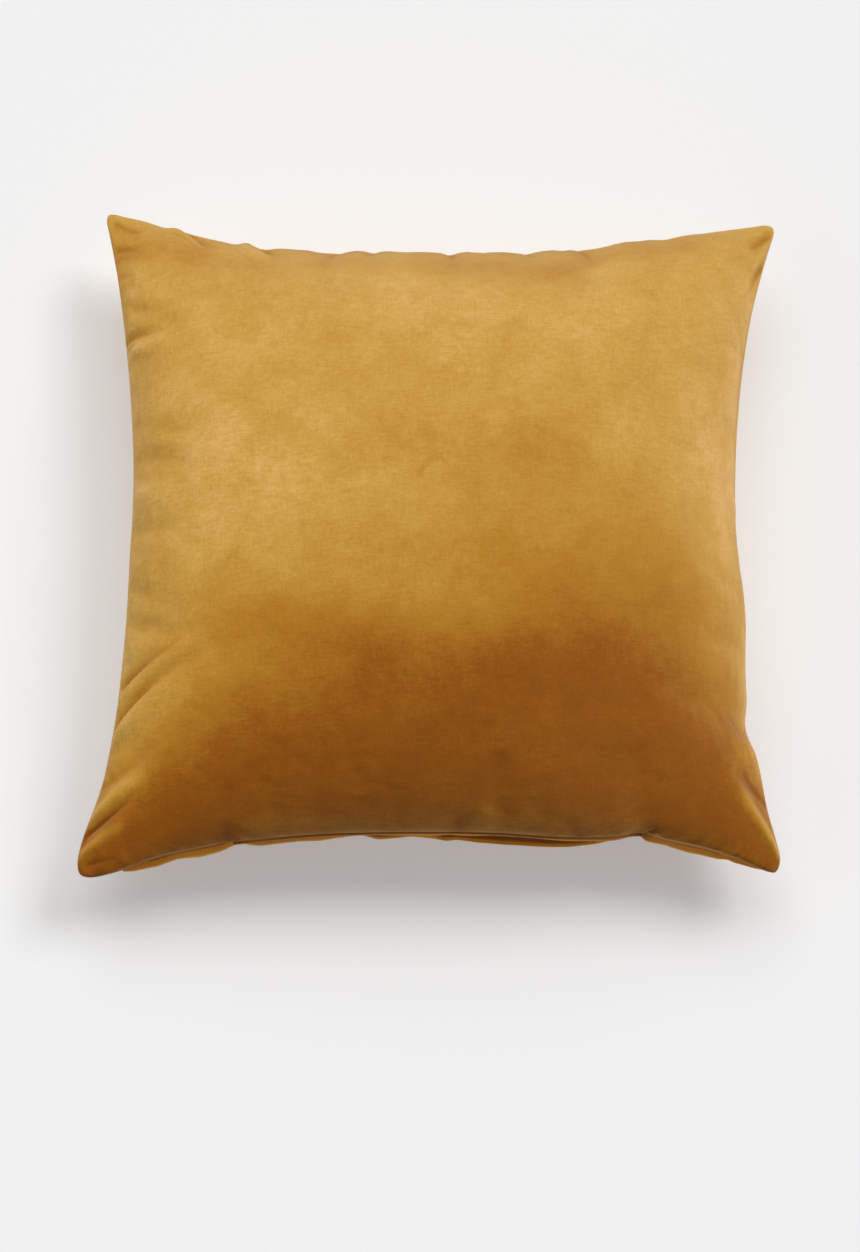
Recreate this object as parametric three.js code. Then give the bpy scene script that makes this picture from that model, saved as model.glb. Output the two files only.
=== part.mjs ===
import * as THREE from "three";

// A square velvet cushion that lies on its back: a front and a back panel, sewn edge to edge and
// filled, with the two folded laps of a concealed zip along the lower edge.
// Millimetres, +Z up. The origin lies on the surface, under the middle of the cushion.

// Flat cover, from seam to seam
const FLAT_SIZE = 500;
const HALF = FLAT_SIZE / 2;

// Seams: height of the tips, how much higher the middle of a side lies, depth of the stitched groove
const TIP_HEIGHT = 52;
const SEAM_RISE = 18;
const GROOVE = 1.4;

// Filling: height of the front and depth of the back from the middle surface, and how much thinner the
// tips are, which fades the faster the greater TIP_REACH is
const FRONT_CROWN = 78;
const BACK_CROWN = 108;
const TIP_THINNING = 0.45;
const TIP_REACH = 3;

// Tips: how far from a tip its seams turn round it, how far the tip is cut back by that, and the power
// by which the groove and the waves of a seam hold on until close to the tip
const TIP_ROUND = 9;
const TIP_CUT = 4;
const TIP_HOLD = 8;

// Run-up of the back from the flat patch that it rests on
const REST_BLEND = 7;

// Folds: the strip along a seam where they are calm, and how deep they are on the back
const SEAM_CALM = 20;
const BACK_SHARE = 0.5;

// Step of cloth parameter between the points that give a direction
const STEP = 0.002;

// Squares of the grid along each side of a panel, and how much closer they lie towards the seams
const CELLS = 52;
const CLOSER = 0.35;

// Velvet: colour of the face and of the folded laps
const VELVET = { color: 0xb5822c, roughness: 0.75, metalness: 0 };
const LAP_VELVET = { color: 0xa8701c, roughness: 0.8, metalness: 0 };

// Where the four tips would end if they weren't rounded
const TIPS = {
  lowerLeft: { x: -252, y: -250 },
  lowerRight: { x: 243, y: -248 },
  upperLeft: { x: -242, y: 250 },
  upperRight: { x: 252, y: 240 },
};

// Seams between the tips. draw: how far the middle is drawn in. first, last: how square the bow is on
// the half that leaves the first tip and on the half that reaches the second.
const SIDES = {
  lower: { from: "lowerLeft", to: "lowerRight", inward: [0, 1], draw: 33, first: 2.6, last: 4.6 },
  upper: { from: "upperLeft", to: "upperRight", inward: [0, -1], draw: 37, first: 3.1, last: 1.6 },
  left: { from: "lowerLeft", to: "upperLeft", inward: [1, 0], draw: 34, first: 2.3, last: 1.8 },
  right: { from: "lowerRight", to: "upperRight", inward: [-1, 0], draw: 35, first: 2.2, last: 2.3 },
};

// Swells and nips of a seam. at: millimetres of cloth from the side's middle, towards +X or +Y.
// width: how far it spreads. out: how far the seam stands out there, or is nipped in if negative.
const SEAM_WAVES = [
  { side: "right", at: -55, width: 42, out: 5 },
  { side: "right", at: -141, width: 14, out: -4 },
  { side: "upper", at: -222, width: 18, out: 3 },
  { side: "upper", at: -90, width: 20, out: -2 },
  { side: "upper", at: 95, width: 40, out: -3 },
  { side: "lower", at: -225, width: 24, out: 4 },
  { side: "lower", at: 95, width: 38, out: 3 },
  { side: "lower", at: 148, width: 14, out: -3 },
];

// Folds of the cloth, in millimetres of the flat panel from its middle. x, y: where a fold is strongest.
// toX, toY: where it has died out. width: half its width. depth: height of a ridge, or depth of a trough
// if negative.
const FOLDS = [
  { x: -246, y: -106, toX: -130, toY: -58, width: 10, depth: -7 },
  { x: -246, y: -122, toX: -112, toY: -77, width: 9, depth: 5 },
  { x: -246, y: -134, toX: -168, toY: -100, width: 9, depth: -5 },
  { x: -246, y: -154, toX: -106, toY: -88, width: 13, depth: 6 },
  { x: -249, y: -202, toX: -156, toY: -138, width: 11, depth: 6 },
  { x: -248, y: -216, toX: -184, toY: -168, width: 9, depth: -5 },
  { x: -242, y: -225, toX: -186, toY: -190, width: 9, depth: 3 },
  { x: -236, y: -238, toX: -204, toY: -220, width: 8, depth: -3 },
  { x: -248, y: 126, toX: -168, toY: 116, width: 10, depth: -8 },
  { x: -246, y: 112, toX: -168, toY: 104, width: 9, depth: 5 },
  { x: -236, y: 231, toX: -206, toY: 218, width: 8, depth: -4 },
  { x: -246, y: 208, toX: -176, toY: 190, width: 10, depth: -6 },
  { x: -240, y: 177, toX: -196, toY: 165, width: 9, depth: -3 },
  { x: -246, y: 58, toX: -140, toY: 48, width: 10, depth: -5 },
  { x: -246, y: 36, toX: -150, toY: 28, width: 10, depth: -5 },
  { x: -246, y: 4, toX: -150, toY: 0, width: 11, depth: -6 },
  { x: -246, y: -36, toX: -140, toY: -42, width: 11, depth: -6 },
  { x: -246, y: -68, toX: -146, toY: -60, width: 10, depth: -4 },
  { x: 246, y: 226, toX: 214, toY: 230, width: 8, depth: -5 },
  { x: 248, y: 193, toX: 220, toY: 197, width: 9, depth: -4 },
  { x: 246, y: 174, toX: 214, toY: 196, width: 8, depth: 3 },
  { x: 246, y: 126, toX: 206, toY: 132, width: 10, depth: -3 },
  { x: 246, y: 60, toX: 190, toY: 63, width: 11, depth: -3 },
  { x: 246, y: 14, toX: 190, toY: 38, width: 10, depth: 3 },
  { x: 249, y: -132, toX: 196, toY: -100, width: 10, depth: -6 },
  { x: 249, y: -154, toX: 190, toY: -132, width: 13, depth: 6 },
  { x: 250, y: -228, toX: 180, toY: -138, width: 12, depth: 8 },
  { x: 248, y: -196, toX: 230, toY: -158, width: 9, depth: -3 },
  { x: -194, y: 248, toX: -144, toY: 196, width: 10, depth: 6 },
  { x: -175, y: 248, toX: -128, toY: 202, width: 9, depth: -6 },
  { x: -134, y: 248, toX: -96, toY: 170, width: 10, depth: 5 },
  { x: -118, y: 248, toX: -83, toY: 180, width: 9, depth: -5 },
  { x: -67, y: 248, toX: -57, toY: 156, width: 9, depth: -4 },
  { x: -42, y: 248, toX: -34, toY: 156, width: 8, depth: -4 },
  { x: 6, y: 248, toX: 8, toY: 146, width: 9, depth: -6 },
  { x: 50, y: 248, toX: 43, toY: 150, width: 9, depth: -4 },
  { x: 87, y: 248, toX: 78, toY: 154, width: 9, depth: -6 },
  { x: 140, y: -249, toX: 134, toY: -196, width: 10, depth: -6 },
  { x: 122, y: -249, toX: 118, toY: -186, width: 10, depth: 5 },
  { x: 19, y: -249, toX: 13, toY: -190, width: 8, depth: -3 },
  { x: 98, y: -249, toX: 70, toY: -190, width: 9, depth: -3 },
];

// Laps of the zip. from, to: millimetres of cloth from the middle of the lower side. start: where the
// inner top edge lies out from and below the seam. slope: degrees below the horizontal. width, thick:
// size of the folded strip, which narrows to LAP_END of its width over the last LAP_TAPER at each end.
const LAP_TAPER = 22;
const LAP_END = 0.35;
const LAPS = [
  { name: "zip_lap_upper", from: -210, to: 218, start: [0.5, 0.6], slope: 62, width: 10, thick: 1.6 },
  { name: "zip_lap_lower", from: -70, to: 150, start: [1.5, 6.2], slope: 70, width: 9.5, thick: 1.2 },
];

// 1 at the middle of a wave or fold, falling smoothly to nothing about two widths away.
function bell(distance, width) {
  return Math.exp(-((distance / width) ** 2));
}

// The seam of one side at cloth parameter t, from -1 at its first tip to 1 at its second.
function seam(name, t) {
  const side = SIDES[name];
  const from = TIPS[side.from];
  const to = TIPS[side.to];
  const squareness = t < 0 ? side.first : side.last;
  const waves = SEAM_WAVES.filter((wave) => wave.side === name);
  const swell = waves.reduce((sum, wave) => sum + wave.out * bell(t * HALF - wave.at, wave.width), 0);
  const drawnIn = side.draw * (1 - Math.abs(t) ** squareness) - swell * (1 - t ** TIP_HOLD);
  return new THREE.Vector3(
    THREE.MathUtils.lerp(from.x, to.x, (1 + t) / 2) + side.inward[0] * drawnIn,
    THREE.MathUtils.lerp(from.y, to.y, (1 + t) / 2) + side.inward[1] * drawnIn,
    TIP_HEIGHT + SEAM_RISE * (1 - t * t),
  );
}

// The surface that spans the four seams: the sum of the two rulings between opposite seams, less the
// plane patch between the tips.
function middleSurface(u, v) {
  const left = (1 - u) / 2;
  const right = (1 + u) / 2;
  const lower = (1 - v) / 2;
  const upper = (1 + v) / 2;
  const corner = (name) => new THREE.Vector3(TIPS[name].x, TIPS[name].y, TIP_HEIGHT);
  return new THREE.Vector3()
    .addScaledVector(seam("lower", u), lower)
    .addScaledVector(seam("upper", u), upper)
    .addScaledVector(seam("left", v), left)
    .addScaledVector(seam("right", v), right)
    .addScaledVector(corner("lowerLeft"), -left * lower)
    .addScaledVector(corner("lowerRight"), -right * lower)
    .addScaledVector(corner("upperLeft"), -left * upper)
    .addScaledVector(corner("upperRight"), -right * upper);
}

// Cloth parameter s to span parameter u: even steps along the seam of the other side, and steps of
// even angle, as round an ellipse, across the middle of the cushion.
function spread(s, across) {
  const ellipse = Math.sin((s * Math.PI) / 2);
  return THREE.MathUtils.lerp(s, ellipse, Math.sqrt(1 - across * across));
}

// How far the filling lifts the cloth: 1 in the middle, elliptical towards each side, thin at the tips.
function fullness(u, v) {
  const round = Math.sqrt((1 - u * u) * (1 - v * v));
  return round * (1 - TIP_THINNING * (u * v) ** (2 * TIP_REACH));
}

// Cloth parameter of a line of the grid.
function gridLine(i) {
  const even = (2 * i) / CELLS - 1;
  return THREE.MathUtils.lerp(even, Math.sin((even * Math.PI) / 2), CLOSER);
}

// The smooth panel, without folds. face is 1 for the front and -1 for the back.
function smoothPanel(s, t, face) {
  const u = spread(s, t);
  const v = spread(t, s);
  const point = middleSurface(u, v);
  point.z += fullness(u, v) * (face > 0 ? FRONT_CROWN : -BACK_CROWN);
  const alongTip = (w) => Math.max(0, 1 - (HALF * (1 - Math.abs(w))) / TIP_ROUND) ** 2;
  const cut = TIP_CUT * alongTip(s) * alongTip(t);
  point.x -= Math.sign(s) * cut * Math.SQRT1_2;
  point.y -= Math.sign(t) * cut * Math.SQRT1_2;
  return point;
}

// Height of all folds at a point of the cloth. Each is a bell across its line and fades towards its
// end, and all are calm at the seam, where both panels meet.
function foldHeight(s, t) {
  const x = s * HALF;
  const y = t * HALF;
  const inside = HALF - Math.max(Math.abs(x), Math.abs(y));
  const calm = THREE.MathUtils.smoothstep(inside, 0, SEAM_CALM);
  return FOLDS.reduce((sum, fold) => {
    const alongX = fold.toX - fold.x;
    const alongY = fold.toY - fold.y;
    const length2 = alongX ** 2 + alongY ** 2;
    const run = THREE.MathUtils.clamp(((x - fold.x) * alongX + (y - fold.y) * alongY) / length2, 0, 1);
    const aside = Math.hypot(x - fold.x - run * alongX, y - fold.y - run * alongY);
    return sum + calm * fold.depth * (1 - run ** 2) * bell(aside, fold.width);
  }, 0);
}

// Keeps the cloth above the surface it lies on: flat at 0 where it rests, with a smooth run-up.
function rest(z) {
  if (z >= REST_BLEND) return z;
  if (z <= -REST_BLEND) return 0;
  return (z + REST_BLEND) ** 2 / (4 * REST_BLEND);
}

// A point inside a panel: the smooth panel, moved along its own normal by the folds, which are
// shallower on the back.
function panelPoint(s, t, face) {
  const point = smoothPanel(s, t, face);
  const acrossS = smoothPanel(s + STEP, t, face).sub(smoothPanel(s - STEP, t, face));
  const acrossT = smoothPanel(s, t + STEP, face).sub(smoothPanel(s, t - STEP, face));
  const normal = acrossS.cross(acrossT).normalize().multiplyScalar(face);
  point.addScaledVector(normal, foldHeight(s, t) * (face > 0 ? 1 : BACK_SHARE));
  point.z = rest(point.z);
  return point;
}

// The stitched line, which lies in a shallow groove between the panels, shared by both and the laps.
function stitchPoint(s, t) {
  const point = smoothPanel(s, t, 1);
  point.x -= Math.abs(s) === 1 ? s * GROOVE * (1 - t ** TIP_HOLD) : 0;
  point.y -= Math.abs(t) === 1 ? t * GROOVE * (1 - s ** TIP_HOLD) : 0;
  return point;
}

// The filled cushion: two grids of points that share the stitched line.
function cushionGeometry() {
  const positions = [];
  const place = new Map();
  const isRim = (i, j) => i === 0 || j === 0 || i === CELLS || j === CELLS;
  const index = (i, j, face) => {
    const key = isRim(i, j) ? `${i},${j}` : `${i},${j},${face}`;
    if (!place.has(key)) {
      const s = gridLine(i);
      const t = gridLine(j);
      const point = isRim(i, j) ? stitchPoint(s, t) : panelPoint(s, t, face);
      place.set(key, positions.length / 3);
      positions.push(point.x, point.y, point.z);
    }
    return place.get(key);
  };
  const triangles = [];
  for (const face of [1, -1]) {
    for (let i = 0; i < CELLS; i += 1) {
      for (let j = 0; j < CELLS; j += 1) {
        const a = index(i, j, face);
        const b = index(i + 1, j, face);
        const c = index(i + 1, j + 1, face);
        const d = index(i, j + 1, face);
        const risingDiagonal = i < CELLS / 2 === j < CELLS / 2;
        const halves = risingDiagonal ? [a, b, c, a, c, d] : [b, c, d, b, d, a];
        triangles.push(...(face > 0 ? halves : halves.reverse()));
      }
    }
  }
  return closedGeometry(positions, triangles);
}

// A lap: a thin strip that follows the stitched line of the lower side, with its ends closed.
function lapGeometry({ from, to, start, slope, width, thick }) {
  const angle = THREE.MathUtils.degToRad(slope);
  const along = [Math.cos(angle), Math.sin(angle)];
  const through = [Math.sin(angle), -Math.cos(angle)];
  const section = (share) =>
    [
      [0, 0],
      [share, 0],
      [share, 1],
      [0, 1],
    ].map(([w, h]) => [
      start[0] + along[0] * w * width + through[0] * h * thick,
      start[1] + along[1] * w * width + through[1] * h * thick,
    ]);
  const stations = [];
  for (let i = 0; i <= CELLS; i += 1) {
    const s = gridLine(i);
    if (s * HALF >= from && s * HALF <= to) stations.push(s);
  }
  const positions = [];
  for (const s of stations) {
    const seat = stitchPoint(s, -1);
    const tangent = stitchPoint(s + STEP, -1).sub(stitchPoint(s - STEP, -1)).setZ(0).normalize();
    const outward = new THREE.Vector3(tangent.y, -tangent.x, 0);
    const toEnd = Math.min(s * HALF - from, to - s * HALF) / LAP_TAPER;
    const share = THREE.MathUtils.lerp(LAP_END, 1, THREE.MathUtils.smoothstep(toEnd, 0, 1));
    for (const [out, down] of section(share)) {
      const point = seat.clone().addScaledVector(outward, out);
      positions.push(point.x, point.y, point.z - down);
    }
  }
  const size = section(1).length;
  const triangles = [];
  for (let k = 0; k + 1 < stations.length; k += 1) {
    for (let m = 0; m < size; m += 1) {
      const a = k * size + m;
      const b = k * size + ((m + 1) % size);
      triangles.push(a, a + size, b, b, a + size, b + size);
    }
  }
  const last = (stations.length - 1) * size;
  triangles.push(0, 1, 2, 0, 2, 3);
  triangles.push(last, last + 2, last + 1, last, last + 3, last + 2);
  return closedGeometry(positions, triangles);
}

// A geometry from a flat list of positions and a flat list of triangles.
function closedGeometry(positions, triangles) {
  const geometry = new THREE.BufferGeometry();
  geometry.setAttribute("position", new THREE.Float32BufferAttribute(positions, 3));
  geometry.setIndex(triangles);
  geometry.computeVertexNormals();
  return geometry;
}

function namedMesh(name, geometry, finish) {
  const mesh = new THREE.Mesh(geometry, new THREE.MeshStandardMaterial(finish));
  mesh.name = name;
  return mesh;
}

const cushion = new THREE.Group();
cushion.add(namedMesh("cushion_cover", cushionGeometry(), VELVET));
for (const lap of LAPS) {
  cushion.add(namedMesh(lap.name, lapGeometry(lap), LAP_VELVET));
}

export default cushion;
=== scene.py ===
# %% [markdown]
# # A velvet cushion that lies on its back
#
# The object is a square cushion cover in mustard velvet, sewn edge to edge and filled, with the folded laps
# of a concealed zip along its lower edge. The imported model gives its true form. Here it gets its finish:
# cloth that wrinkles where the filling pulls it, a sewn edge, laps of folded velvet, and a pile that catches
# the light, with much of its light and shade painted into its colour.
#
# We begin with the imported model. Everything below is worked out in millimetres of the same frame and
# put into meshes in metres.

# %% The imported model
import math
import time

import bpy
import numpy as np
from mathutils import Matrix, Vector


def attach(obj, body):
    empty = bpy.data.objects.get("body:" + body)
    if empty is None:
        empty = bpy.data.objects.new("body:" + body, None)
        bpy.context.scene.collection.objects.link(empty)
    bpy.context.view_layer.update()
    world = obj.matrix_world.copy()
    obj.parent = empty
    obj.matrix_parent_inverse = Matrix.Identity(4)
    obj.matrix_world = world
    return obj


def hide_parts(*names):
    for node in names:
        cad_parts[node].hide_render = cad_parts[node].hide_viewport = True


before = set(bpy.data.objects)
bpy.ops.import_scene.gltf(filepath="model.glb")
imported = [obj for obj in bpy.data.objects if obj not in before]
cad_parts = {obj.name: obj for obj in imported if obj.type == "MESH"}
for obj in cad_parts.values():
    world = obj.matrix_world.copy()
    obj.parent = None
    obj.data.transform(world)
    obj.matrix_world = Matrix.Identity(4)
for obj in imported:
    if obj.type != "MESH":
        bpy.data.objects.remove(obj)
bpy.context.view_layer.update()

# %% [markdown]
# ## Camera
#
# The cushion is seen almost from above. How much its sides shorten gives the tilt, 15 degrees from
# straight down, and the distance, 2.78 m. A long lens keeps the four sides nearly parallel. The image is
# upright, so the sensor is fitted to its height.

# %% Camera
tilt = math.radians(15)
distance = 2.78
aim = Vector((-0.003, -0.0705, 0.070))
towards_camera = Vector((0, -math.sin(tilt), math.cos(tilt)))

lens = bpy.data.cameras.new("camera")
lens.lens = 113
lens.sensor_fit = "VERTICAL"
lens.sensor_height = 36
camera = bpy.data.objects.new("camera", lens)
camera.location = aim + towards_camera * distance
camera.rotation_euler = towards_camera.to_track_quat("Z", "Y").to_euler()
bpy.context.scene.collection.objects.link(camera)
bpy.context.scene.camera = camera
print("camera at", [round(c, 3) for c in camera.location])

# %% [markdown]
# ## Studio
#
# A pale floor that glows a little, as a light table does, so that shadows on it stay soft. A large light
# from the upper right throws the shadow beside the left edge: the tips' shadows give its direction, 39
# degrees round from +X and 47 degrees high, and their soft edge gives its width. A second, wider light
# from beyond the far edge makes that half of the cushion the bright one, and a weak wide one from the
# left keeps that side from going dull.

# %% Studio
lamp_distance = 2.0


def soft_light(name, around, height, width, strength):
    """A distant white light of that angular width, from its angle round from +X and its height above
    the horizon, in degrees. Being distant, it lights the whole floor evenly."""
    light = bpy.data.lights.new(name, "SUN")
    light.angle = math.radians(width)
    light.energy = strength * math.pi
    lamp = bpy.data.objects.new(name, light)
    around, height = math.radians(around), math.radians(height)
    flat = math.cos(height)
    direction = Vector((math.cos(around) * flat, math.sin(around) * flat, math.sin(height)))
    lamp.location = direction * lamp_distance
    lamp.rotation_euler = direction.to_track_quat("Z", "Y").to_euler()
    bpy.context.scene.collection.objects.link(lamp)
    return lamp


soft_light("key_light", around=39, height=47, width=26, strength=0.485)
soft_light("far_light", around=96, height=52, width=46, strength=0.405)
soft_light("fill_light", around=190, height=25, width=60, strength=0.13)

surround_glow = 0.13
paper_grey = 0.66
paper_glow = 0.312

surround = bpy.data.worlds.new("surround")
surround.use_nodes = True
surround.node_tree.nodes["Background"].inputs["Color"].default_value = (1.0, 1.0, 1.0, 1)
surround.node_tree.nodes["Background"].inputs["Strength"].default_value = surround_glow
bpy.context.scene.world = surround
bpy.context.scene.view_settings.view_transform = "Standard"

floor_half = 8.0
floor_mesh = bpy.data.meshes.new("floor")
floor_mesh.from_pydata(
    [(x * floor_half, y * floor_half, 0) for x, y in ((-1, -1), (1, -1), (1, 1), (-1, 1))],
    [],
    [(0, 1, 2, 3)],
)
floor = bpy.data.objects.new("floor", floor_mesh)
bpy.context.scene.collection.objects.link(floor)

paper = bpy.data.materials.new("paper")
paper.use_nodes = True
paper_shader = paper.node_tree.nodes["Principled BSDF"]
paper_shader.inputs["Base Color"].default_value = (paper_grey, paper_grey, paper_grey, 1)
paper_shader.inputs["Roughness"].default_value = 1.0
paper_shader.inputs["Specular IOR Level"].default_value = 0.0
paper_shader.inputs["Emission Color"].default_value = (1, 1, 1, 1)
paper_shader.inputs["Emission Strength"].default_value = paper_glow
floor_mesh.materials.append(paper)

# %% [markdown]
# ## Seams
#
# Each panel is a flat square of 500 mm. Filled, its tips stay out and its sides are drawn in. A seam is
# the straight line between two tips, drawn in by a power curve, `draw * (1 - |t| ** squareness)`, with a
# few swells and nips where the pad presses or the stitching pulls. `t` runs from -1 at one tip to 1 at
# the other.

# %% Seams
half = 250.0
tip_height = 52.0
seam_rise = 18.0
wave_hold = 8

tips = {
    "lower left": dict(x=-255, y=-253, round=22, cut=10.0),
    "lower right": dict(x=247, y=-253, round=24, cut=12.0),
    "upper left": dict(x=-242, y=250, round=13, cut=5.5),
    "upper right": dict(x=252, y=240, round=14, cut=6.0),
}
sides = {
    "lower": dict(start="lower left", end="lower right", inward=(0, 1), draw=33, first=2.6, last=4.6),
    "upper": dict(start="upper left", end="upper right", inward=(0, -1), draw=37, first=3.1, last=1.6),
    "left": dict(start="lower left", end="upper left", inward=(1, 0), draw=34, first=2.3, last=1.8),
    "right": dict(start="lower right", end="upper right", inward=(-1, 0), draw=35, first=2.2, last=2.3),
}
seam_waves = [
    dict(side="right", at=-226, width=20, out=3),
    dict(side="right", at=-175, width=26, out=1.5),
    dict(side="right", at=-141, width=14, out=-4),
    dict(side="right", at=-55, width=42, out=5),
    dict(side="left", at=-222, width=22, out=3),
    dict(side="left", at=-20, width=40, out=1.2),
    dict(side="upper", at=-222, width=18, out=4),
    dict(side="upper", at=-188, width=14, out=2),
    dict(side="upper", at=-138, width=20, out=-2),
    dict(side="upper", at=-90, width=20, out=-2),
    dict(side="upper", at=57, width=14, out=-1.4),
    dict(side="upper", at=95, width=40, out=-2.4),
    dict(side="upper", at=112, width=12, out=-1.2),
    dict(side="upper", at=166, width=12, out=-1.4),
    dict(side="lower", at=-225, width=24, out=4),
    dict(side="lower", at=95, width=38, out=3),
    dict(side="lower", at=148, width=14, out=-3),
]


def bell(away, width):
    """exp(-(away / width) ** 2): 1 in the middle, nothing about two widths away."""
    return np.exp(-((away / width) ** 2))


def smooth_step(x, low, high):
    """0 below low, 1 above high, and 3 k**2 - 2 k**3 between them."""
    k = np.clip((x - low) / (high - low), 0, 1)
    return k * k * (3 - 2 * k)


def swelling(table, side, place, what):
    """Sum of what * bell(place - at, width) over the rows of that side."""
    return sum(row[what] * bell(place - row["at"], row["width"]) for row in table if row["side"] == side)


def tip(name):
    """The place of a tip, before its point is rounded."""
    return np.array([tips[name]["x"], tips[name]["y"], tip_height], float)


def seam_line(name, t):
    """Line between two tips, moved inwards by draw * (1 - |t| ** squareness) less the swells, which
    hold until close to the tips, and raised by seam_rise * (1 - t ** 2)."""
    side = sides[name]
    squareness = np.where(t < 0, side["first"], side["last"])
    swell = swelling(seam_waves, name, t * half, "out")
    drawn_in = side["draw"] * (1 - np.abs(t) ** squareness) - swell * (1 - t**wave_hold)
    share = ((1 + t) / 2)[..., None]
    line = tip(side["start"]) * (1 - share) + tip(side["end"]) * share
    line = line + drawn_in[..., None] * np.array([*side["inward"], 0.0])
    line[..., 2] += seam_rise * (1 - t * t)
    return line


t_check = np.linspace(-1, 1, 201)
for name in sides:
    steps = np.diff(seam_line(name, t_check), axis=0)
    print(name, "seam, length in mm:", round(float(np.linalg.norm(steps, axis=1).sum()), 1))

# %% [markdown]
# ## Filled form
#
# The middle surface spans the four seams: the sum of the rulings between opposite seams, less the patch
# between the tips. The filling lifts the front and lowers the back from it by
# `sqrt((1 - u**2) * (1 - v**2))`, an ellipse across each way, thinner at the tips. The cloth parameters
# `s` and `t` are moved towards the seams first, so that equal lengths of cloth stay equal where the
# ellipse is steep.

# %% Filled form
crown = {1: 78.0, -1: -108.0}
tip_thinning = 0.45
thinning_hold = 6


def middle_surface(u, v):
    """Coons patch of the four seams."""
    a = ((1 + u) / 2)[..., None]
    b = ((1 + v) / 2)[..., None]
    across = (1 - b) * seam_line("lower", u) + b * seam_line("upper", u)
    upwards = (1 - a) * seam_line("left", v) + a * seam_line("right", v)
    low = (1 - a) * tip("lower left") + a * tip("lower right")
    high = (1 - a) * tip("upper left") + a * tip("upper right")
    return across + upwards - (1 - b) * low - b * high


def spread(s, across):
    """s at the seams and sin(s * pi / 2) in the middle, mixed by sqrt(1 - across ** 2)."""
    share = np.sqrt(np.clip(1 - across * across, 0, 1))
    return s * (1 - share) + np.sin(s * np.pi / 2) * share


def of_nearest_tip(s, t, what):
    """The value that the table of tips gives for the tip of that quarter of the panel."""
    lower = np.where(s < 0, tips["lower left"][what], tips["lower right"][what])
    upper = np.where(s < 0, tips["upper left"][what], tips["upper right"][what])
    return np.where(t < 0, lower, upper).astype(float)


def smooth_panel(s, t, face):
    """Middle surface plus crown * sqrt((1 - u**2) (1 - v**2)) * (1 - thinning * (u v)**6), with each
    tip cut back by cut * (1 - distance / round) ** 2 both ways. face is 1 for the front, -1 for the back."""
    u = spread(s, t)
    v = spread(t, s)
    point = middle_surface(u, v)
    thinner = 1 - tip_thinning * (u * v) ** thinning_hold
    fullness = np.sqrt(np.clip((1 - u * u) * (1 - v * v), 0, 1)) * thinner
    point[..., 2] += crown[face] * fullness
    tip_round = of_nearest_tip(s, t, "round")
    cut_s = np.clip(1 - half * (1 - np.abs(s)) / tip_round, 0, 1) ** 2
    cut_t = np.clip(1 - half * (1 - np.abs(t)) / tip_round, 0, 1) ** 2
    cut = of_nearest_tip(s, t, "cut") * cut_s * cut_t * math.sqrt(0.5)
    point[..., 0] -= np.sign(s) * cut
    point[..., 1] -= np.sign(t) * cut
    return point


def normals_of(points, face):
    """Cross product of the grid's two directions, as unit vectors that point out of the cushion."""
    normal = np.cross(np.gradient(points, axis=0), np.gradient(points, axis=1))
    length = np.linalg.norm(normal, axis=-1, keepdims=True)
    return face * normal / np.maximum(length, 1e-9)


# %% [markdown]
# ## Folds
#
# The stitching takes up more cloth than the filled form needs, and the spare cloth stands in folds that
# start at the seams and die out on the panel. They are listed one by one: `x, y` is where a fold is
# strongest, `to_x, to_y` where it has died out, in millimetres of the flat panel from its middle, and `bow`
# is how far it bends aside on its way. A ridge has a positive depth and a trough a negative one.
# The filling presses ridges round, while a trough between two of them closes to a crease.

# %% Folds
def rows(names, values):
    """A short table with named columns."""
    return np.array(values, dtype=[(name, float) for name in names.split()])


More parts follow.
